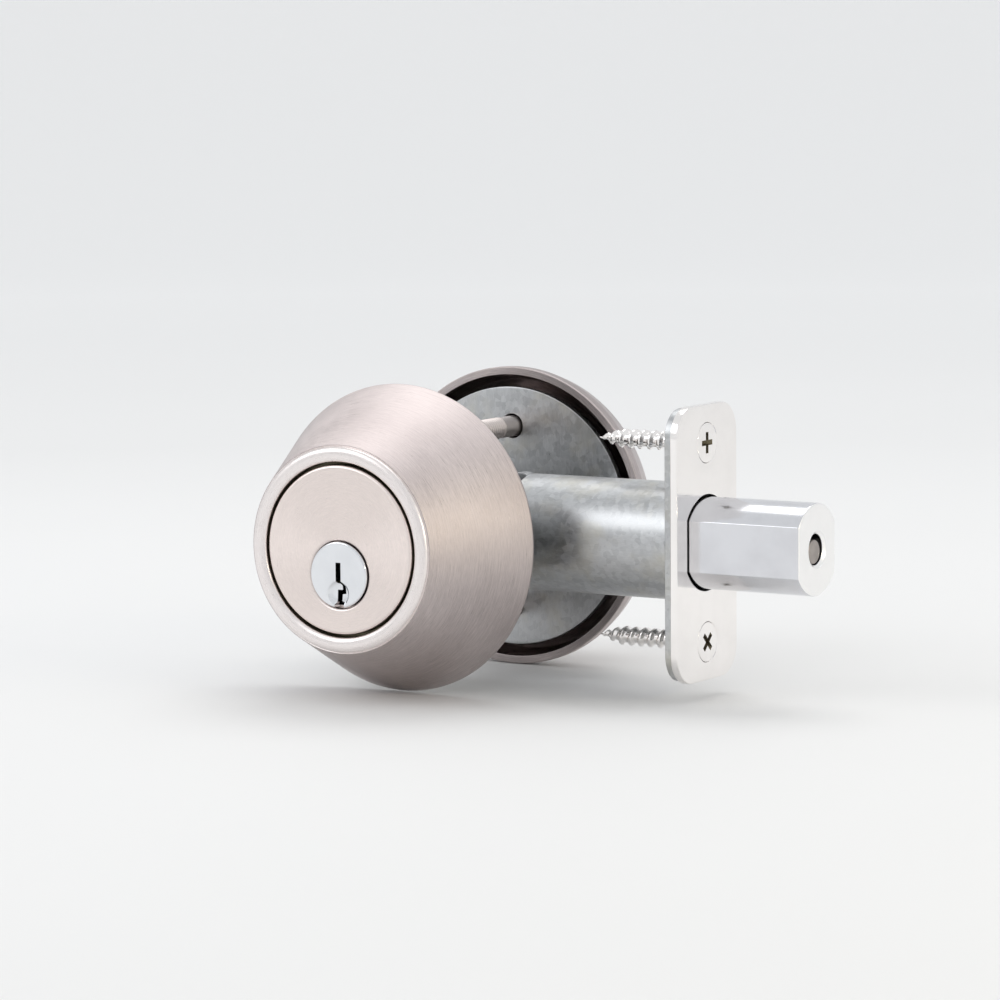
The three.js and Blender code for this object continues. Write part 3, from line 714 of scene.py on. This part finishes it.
def make_edge_plates():
    plates = (
        ("face_plate", "faceplate", FACE, 6.35, 0.45, NICKEL, "bright_nickel", 0.22),
        ("back_plate", "backing_plate", BACKING, 6.0, 0.6, ZINC, "zinc_steel", 0.15),
    )
    for name, node, span, corner, gap, material, slot, edge in plates:
        outlines = [rounded_plate(span.size.y, span.size.z, corner), bolt_section(gap)]
        plate = sheet_metal(name, outlines, "x", span.low.x, span.high.x, edge)
        face, shank, under, edge_r = FACE.high.x, 2.3, 4.22, 4.34
        for side in (-1, 1):
            sink = [
                (0, BACKING.low.x - 5), (shank, BACKING.low.x - 5), (shank, face - 2.35), (under, face - 0.1),
                (edge_r, face + 0.06), (edge_r, face + 3), (0, face + 3),
            ]
            hole = turned("sink", sink, "x", (0, 0, side * SCREW.middle.z), segments=96)
            cut(plate, hole)
        finished(smoothed(plate, 30), material, slot, "lock", node)


def make_tube():
    tube = Span("latch_tube")
    r, wall = tube.size.z / 2, 0.9
    back, front = tube.low.x, tube.high.x
    corners = [(r - wall, back, 0.2), (r, back, 0.2), (r, front, 0.1), (r - wall, front, 0.1)]
    piece = turned("latch_sleeve", corners, "x", (0, 0, 0), closed=True)
    finished(smoothed(piece), ZINC, "zinc_steel", "lock", "latch_tube")


def make_bolt():
    front, back = BOLT.high.x, BOLT.low.x
    ease = [(0.42, 0), (0.22, 0.07), (0.08, 0.2), (0.0, 0.42)]
    levels = [(-i, front - d) for i, d in ease]
    levels += [(-i, back + d) for i, d in reversed(ease)]
    rings = [[(u, v, along) for u, v in bolt_section(margin)] for margin, along in reversed(levels)]
    bar = loft("bolt_bar", rings, placed("x", (0, 0, 0)))
    hole_r, hole_back = 3.2, 53
    mouth = [
        (0, hole_back), (hole_r, hole_back), (hole_r, front - 0.55, 0.15), (3.85, front - 0.02, 0.1),
        (3.95, front + 1), (0, front + 1),
    ]
    hole = turned("mouth", mouth, "x", (0, 0, 0), segments=96)
    slot = block("slot", "x", (-1.7, 1.7), (0.3, 12), (back - 1, 52.1))
    at, r = Span("tail_rivet").middle, 1.5
    rivet = turned("hole", [(0, -12), (r, -12), (r, 12), (0, 12)], "y", (at.x, 0, at.z), segments=48)
    # A small dimple from the staking punch, in the top of the bar.
    dimple = [(0, 9.36), (0.45, 9.4), (0.8, 9.56), (0.8, 11), (0, 11)]
    punch = turned("punch", dimple, "z", (64.8, 0, 0), segments=48)
    cut(bar, hole, slot, rivet, punch)
    finished(smoothed(bar, 28), CHROME, "chrome", "bolt", "bolt")
    touched_up(bar, CHROME_END, lambda at, normal: at.x > front - 0.5 and normal.x > 0.6)


def make_roller():
    roller = Span("bolt_roller")
    r = roller.size.z / 2
    corners = [(0, roller.low.x), (r, roller.low.x, 0.3), (r, roller.high.x, 0.35), (0, roller.high.x)]
    pin = turned("saw_roller", corners, "x", (0, roller.middle.y, roller.middle.z), segments=96)
    finished(smoothed(pin), HARD, "hardened_steel", "roller", "bolt_roller")


def make_tail():
    tail = Span("bolt_tail")
    low, top = tail.low.z, tail.high.z
    x = tail.low.x
    fork, slot_back, slot_front, slot_floor, shoulder = 10.8, 3.14, 7.66, 3.6, 9
    corners = [
        (x, low, 0.8), (tail.high.x, low, 0.4), (tail.high.x, shoulder, 0.4), (x + fork, shoulder, 0.8),
        (x + fork, top, 1.2), (x + slot_front, top, 0.6), (x + slot_front, slot_floor, 1.8),
        (x + slot_back, slot_floor, 1.8), (x + slot_back, top, 0.6), (x, top, 1.2),
    ]
    rivet_at = Span("tail_rivet").middle
    outlines = [rounded(corners, True, 6), circle(1.5, (rivet_at.x, rivet_at.z), 32)]
    bar = sheet_metal("bolt_fork", outlines, "y", tail.low.y, tail.high.y, 0.15)
    finished(smoothed(bar, 30), ZINC, "zinc_steel", "bolt", "bolt_tail")
    rivet = Span("tail_rivet")
    pin = turned(
        "fork_rivet",
        [(0, rivet.low.y), (1.2, rivet.low.y, 0.2), (1.2, rivet.high.y, 0.2), (0, rivet.high.y)],
        "y",
        (rivet.middle.x, 0, rivet.middle.z),
        segments=48,
    )
    finished(smoothed(pin), ZINC, "zinc_steel", "bolt", "tail_rivet")


def make_case():
    rivets = [Span("case_rivet_rear").middle, Span("case_rivet_front").middle]
    corners = [
        (-19, -9, 0.8), (-17, -11, 0.8), (13, -11, 1.5), (17.8, -9.2, 1.5), (20.8, -9.2, 0.3),
        (20.8, 9.2, 0.3), (-17, 9.2, 0.8), (-19, 7.2, 0.8),
    ]
    for side in ("outer", "inner"):
        plate = Span("case_plate_" + side)
        outlines = [rounded(corners, True, 4), circle(4.0, (0, PLUG_AXIS[2]), 64)]
        outlines += [circle(1.5, (r.x, r.z), 32) for r in rivets]
        piece = sheet_metal("case_side_" + side, outlines, "y", plate.low.y, plate.high.y, 0.12)
        finished(smoothed(piece, 30), ZINC, "zinc_steel", "lock", "case_plate_" + side)
    end, under, inside, pin_r, head_r, waist_r = 6.95, 6.25, 4.95, 1.3, 2.3, 2
    for where, at in zip(("rear", "front"), rivets):
        half = [
            (0, end), (pin_r, end, 0.5), (head_r, end - 0.3, 0.3), (head_r, under, 0.05), (pin_r, under),
            (pin_r, inside), (waist_r, inside, 0.1),
        ]
        whole = half + [(c[0], -c[1], *c[2:]) for c in reversed(half)]
        rivet = turned("case_pin_" + where, whole, "y", (at.x, 0, at.z), segments=48)
        finished(smoothed(rivet), ZINC, "zinc_steel", "lock", "case_rivet_" + where)


def make_lever():
    drop = PLUG_AXIS[2]
    reach, rest = 17.96, 45
    neck_r, hub_r, shoulder, end = 3.75, 5.2, 4.85, 6.6
    corners = [(0, -end), (neck_r, -end, 0.25), (neck_r, -shoulder), (hub_r, -shoulder, 0.25)]
    corners += [(c[0], -c[1], *c[2:]) for c in reversed(corners)]
    hub = turned("hub", corners, "y", PLUG_AXIS, segments=96)
    turn = Matrix.Rotation(math.radians(rest), 4, "Y")
    outline = [(-4.2, 0), (4.2, 0)] + arc(2.8, 0, 180, 16, (0, reach))
    outline = [(p.x, p.z + drop) for p in (turn @ Vector((u, 0, v)) for u, v in outline)]
    arm = sheet_metal("arm", [outline], "y", 1.9, 4.4, 0.3)
    tip = turn @ Vector((0, 0, reach))
    profile = [(0, -2.2), (1.6, -2.2, 0.25), (1.6, 2.4), (0, 2.4)]
    pin = turned("pin", profile, "y", (tip.x, 0, tip.z + drop), segments=48)
    joined(hub, arm, pin)
    cut(hub, block("socket", "y", (-2.95, 2.95), (drop - 1.35, drop + 1.35), (-9, 9)))
    hub.name = "lever_hub"
    finished(smoothed(hub, 30), CAST, "cast_zinc", "turn", "hub_lever")


def make_face_screws():
    shank_r, taper, thread, pitch = 1.42, 5.5, 0.62, 2.3
    for where, degrees in (("upper", 90), ("lower", 45)):
        span = Span("face_screw_" + where)
        centre = (0, 0, span.middle.z)
        face, tip = span.high.x, span.low.x

        def core(along):
            return shank_r if along > tip + taper else max(0.12, shank_r * (along - tip) / taper)

        def in_recess(at, normal):
            deep = face - 2 < at.x < face - 0.05
            return deep and abs(normal.x) < 0.995 and math.hypot(at.y, at.z - centre[2]) < 2.75

        shank = threaded("shank", "x", centre, face - 3.6, tip, core, thread, pitch)
        corners = [
            (0, face - 5), (1.55, face - 5), (1.6, face - 3.1, 0.5), (2.0, face - 2.4, 0.3),
            (4.13, face - 0.1, 0.04), (4.05, face, 0.04), (0, face),
        ]
        head = turned("screw_" + where, corners, "x", centre, segments=96)
        cut(head, cross_recess("x", centre, face, 1.7, 2.3, degrees))
        merged(head, shank)
        finished(smoothed(head, 35), NICKEL, "bright_nickel", "lock", "face_screw_" + where)
        # Painted shade on the walls of the cross recess.
        touched_up(head, PAINTED_SHADE, in_recess)


# ------------------------------------------------------ posts, plates, inside


def make_through_bolts():
    for where, degrees in (("upper", 20), ("lower", -35)):
        span = Span("through_bolt_" + where)
        post = Span("post_" + where)
        centre = (0, 0, span.middle.z)
        top, rose = span.high.y, Span("inside_rose").high.y
        shank = threaded("shank", "y", centre, span.low.y, rose - 14, lambda along: 2.0, 0.34, 0.8)
        head = turned(
            "joining_screw_" + where,
            [
                (0, rose - 15), (2.25, rose - 15, 0.2), (2.25, rose - 2.1, 0.3), (4.3, rose - 0.1, 0.1),
                (4.2, rose + 0.12, 0.2), (2.6, top, 1.6), (0, top),
            ],
            "y",
            centre,
            segments=96,
        )
        cut(head, cross_recess("y", centre, top, 1.8, 2.2, degrees))
        merged(head, shank)
        finished(smoothed(head, 35), SATIN_FACE, "satin_nickel", "lock", "through_bolt_" + where)
        sleeve = turned(
            "post_sleeve_" + where,
            [
                (0, post.low.y), (3.9, post.low.y, 0.2), (3.9, post.high.y, 0.4), (3.1, post.high.y, 0.1),
                (2.65, post.high.y - 0.5), (2.65, -22), (0, -22),
            ],
            "y",
            centre,
            segments=96,
        )
        finished(smoothed(sleeve), ZINC, "zinc_steel", "lock", "post_" + where)


def make_cover_plates():
    drop = PLUG_AXIS[2]
    z = Span("through_bolt_upper").middle.z
    outer, inner = Span("support_plate"), Span("inside_plate")
    # The support plate's window is a round hole for the barrel with a slot above it for the pins.
    half, top, r = 4.9, 13.0, 9.6
    start = math.degrees(math.acos(half / r))
    window = [(-half, top), (half, top)] + arc(r, start, start - 360 + (180 - 2 * start), 60, (0, drop))
    jobs = (
        ("support_disc", "support_plate", outer, window, 4.2),
        ("inside_disc", "inside_plate", inner, circle(6.5, (0, drop)), 2.65),
    )
    for name, node, span, middle, hole in jobs:
        outlines = [circle(span.size.x / 2, (0, 0), ROUND), middle]
        outlines += [circle(hole, (0, s * z), 48) for s in (-1, 1)]
        plate = sheet_metal(name, outlines, "y", span.low.y, span.high.y, 0.2)
        finished(smoothed(plate, 30), ZINC, "zinc_steel", "lock", node)


def make_rose():
    rose = Span("inside_rose")
    r, back, face = rose.size.x / 2, rose.low.y, rose.high.y
    corners = [
        (0, face), (27.6, face, 3.4), (31.0, face - 2.2, 3.5), (r, back + 2.2, 2.0), (r, back, 0.3),
        (30.6, back, 0.2), (30.6, back + 1.8, 1), (29.5, face - 3.2, 1.2), (26.8, face - 1.8, 1.5),
        (0, face - 1.8),
    ]
    shell = turned("rose_cover", corners, "y", (0, 0, 0), segments=256, steps=8)
    z = Span("through_bolt_upper").middle.z
    for side in (-1, 1):
        centre = (0, 0, side * z)
        foot = [(0, back + 1.5), (5.6, back + 1.5, 0.3), (5.6, face - 1), (0, face - 1)]
        joined(shell, turned("boss", foot, "y", centre, segments=96))
        sink = [
            (0, back - 1), (2.65, back - 1), (2.65, face - 2.1), (4.5, face - 0.1), (4.75, face + 0.08),
            (4.75, face + 2), (0, face + 2),
        ]
        cut(shell, turned("sink", sink, "y", centre, segments=96))
    hole = [
        (0, back - 1), (5.8, back - 1), (5.8, face - 0.15), (6.1, face + 0.05), (6.1, face + 2), (0, face + 2),
    ]
    cut(shell, turned("hole", hole, "y", PLUG_AXIS, segments=128))
    finished(smoothed(shell, 35), SATIN, "satin_nickel", "lock", "inside_rose")


def make_thumbturn():
    turn = Span("thumbturn")
    back, drop, end = 31.6, PLUG_AXIS[2], turn.high.y
    hub_r, groove_r, groove_front, groove_back = 5.5, 4.6, 26.4, 27.4
    corners = [
        (0, turn.low.y), (hub_r, turn.low.y, 0.3), (hub_r, groove_front), (groove_r, groove_front),
        (groove_r, groove_back), (hub_r, groove_back), (hub_r, back), (10.2, back, 0.3),
        (10.2, back + 1.6, 0.6), (9.2, back + 2.6, 0.8), (0, back + 3.1),
    ]
    foot = turned("thumb_turn", corners, "y", PLUG_AXIS, steps=6)
    # The paddle is lofted: half width and half thickness at each height above the foot.
    stations = [
        (1.2, 7.0, 3.3), (2.6, 7.9, 3.2), (4.5, 10.0, 3.1), (6.5, 12.6, 3.1), (9.0, 15.6, 3.3),
        (11.5, 17.1, 3.5), (13.5, 17.4, 3.6), (15.5, 16.9, 3.6), (17.4, 15.4, 3.4), (19.0, 12.6, 3.0),
        (20.1, 9.2, 2.4), (20.8, 5.2, 1.5), (21.0, 1.5, 0.6),
    ]
    top, count = stations[-1][0], 72
    rings = []
    for height, wide, thick in stations:
        ring = []
        for j in range(count):
            a = 2 * math.pi * j / count
            c, s = math.cos(a), math.sin(a)
            u = wide * math.copysign(abs(c) ** 0.75, c)
            v = thick * math.copysign(abs(s) ** 0.62, s)
            ring.append((u, back + height * (end - back) / top, v + drop))
        rings.append(ring)
    paddle = loft("paddle", rings)
    swell = paddle.modifiers.new("smooth", "SUBSURF")
    swell.levels = swell.render_levels = 2
    settled(paddle)
    cleaned(paddle)
    joined(foot, paddle)
    cut(foot, block("socket", "y", (-2.95, 2.95), (drop - 1.35, drop + 1.35), (turn.low.y - 1, 31)))
    finished(smoothed(foot, 40), SATIN_FACE, "satin_nickel", "turn", "thumbturn")


def dress_kept_nodes():
    """CAD pieces whose shape is already right get their finish."""
    kept = {"chamber_cap": BRASS, "tailpiece": ZINC, "case_guide": CAST, "hub_spring": SPRING}
    kept.update(dict.fromkeys(("plug_clip", "turn_washer", "turn_ring"), SPRING))
    for i in range(1, 6):
        kept[f"key_pin_{i}"] = kept[f"driver_pin_{i}"] = BRASS
        kept[f"pin_spring_{i}"] = SPRING
    for name, material in kept.items():
        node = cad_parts[name]
        node.data.materials.clear()
        node.data.materials.append(material)


for make in (
    make_guard, make_cylinder, make_plug, make_edge_plates, make_tube, make_bolt, make_roller, make_tail,
    make_case, make_lever, make_face_screws, make_through_bolts, make_cover_plates, make_rose,
    make_thumbturn, dress_kept_nodes,
):
    make()


# --------------------------------------------------------------------- stage


def make_floor():
    """A round sheet of studio paper that curves up at its rim, so that no horizon shows."""
    low = CAD_BOX[0].z / MM - 0.1
    flat, rim, height, steps = 1300, 2700, 1250, 24
    corners = [(0, low)]
    for i in range(steps + 1):
        a = math.pi / 2 * i / steps
        corners.append((flat + (rim - flat) * math.sin(a), low + height * (1 - math.cos(a))))
    floor = turned("floor", corners, "z", (0, 0, 0), segments=128)
    for face in floor.data.polygons:
        face.use_smooth = True
    floor.data.materials.append(studio_paper())


def soft_light(name, azimuth, elevation, distance, size, power, colour):
    """A soft rectangular light that faces the lock from an azimuth, an elevation and a distance."""
    light = bpy.data.lights.new(name, "AREA")
    light.shape = "RECTANGLE"
    light.size, light.size_y = (s * MM for s in size)
    light.energy = power
    light.color = colour
    lamp = bpy.data.objects.new(name, light)
    bpy.context.scene.collection.objects.link(lamp)
    a, e = math.radians(azimuth), math.radians(elevation)
    back = Vector((math.sin(a) * math.cos(e), -math.cos(a) * math.cos(e), math.sin(e)))
    facing = back.to_track_quat("Z", "Y").to_matrix().to_4x4()
    lamp.matrix_world = Matrix.Translation(back * distance * MM) @ facing


def make_lights():
    world = bpy.data.worlds.new("studio")
    bpy.context.scene.world = world
    world.use_nodes = True
    sky = world.node_tree.nodes["Background"].inputs
    sky["Color"].default_value = (0.97, 0.985, 1.0, 1)
    sky["Strength"].default_value = 0.82
    soft_light("key", -170, 66, 860, (660, 420), 1.9, (1.0, 0.995, 0.985))
    soft_light("front", -42, 34, 820, (520, 380), 1.2, (0.985, 0.99, 1.0))
    soft_light("side", 82, 17, 800, (460, 24), 1.0, (1.0, 0.9, 0.68))


def make_camera():
    a, e, roll = (math.radians(d) for d in (VIEW_AZIMUTH, VIEW_ELEVATION, VIEW_ROLL))
    back = Vector((math.sin(a) * math.cos(e), -math.cos(a) * math.cos(e), math.sin(e)))
    level = Vector((math.cos(a), math.sin(a), 0))
    above = back.cross(level)
    right = level * math.cos(roll) + above * math.sin(roll)
    up = above * math.cos(roll) - level * math.sin(roll)
    data = bpy.data.cameras.new("camera")
    data.lens, data.sensor_width = LENS, SENSOR
    data.clip_start, data.clip_end = 0.01, 20
    camera = bpy.data.objects.new("camera", data)
    bpy.context.scene.collection.objects.link(camera)
    stand = (right * VIEW_ASIDE + up * VIEW_ABOVE + back * VIEW_DISTANCE) * MM
    camera.matrix_world = Matrix.Translation(stand) @ Matrix((right, up, back)).transposed().to_4x4()
    bpy.context.scene.camera = camera


make_floor()
make_lights()
make_camera()
bpy.context.scene.view_settings.view_transform = "Standard"
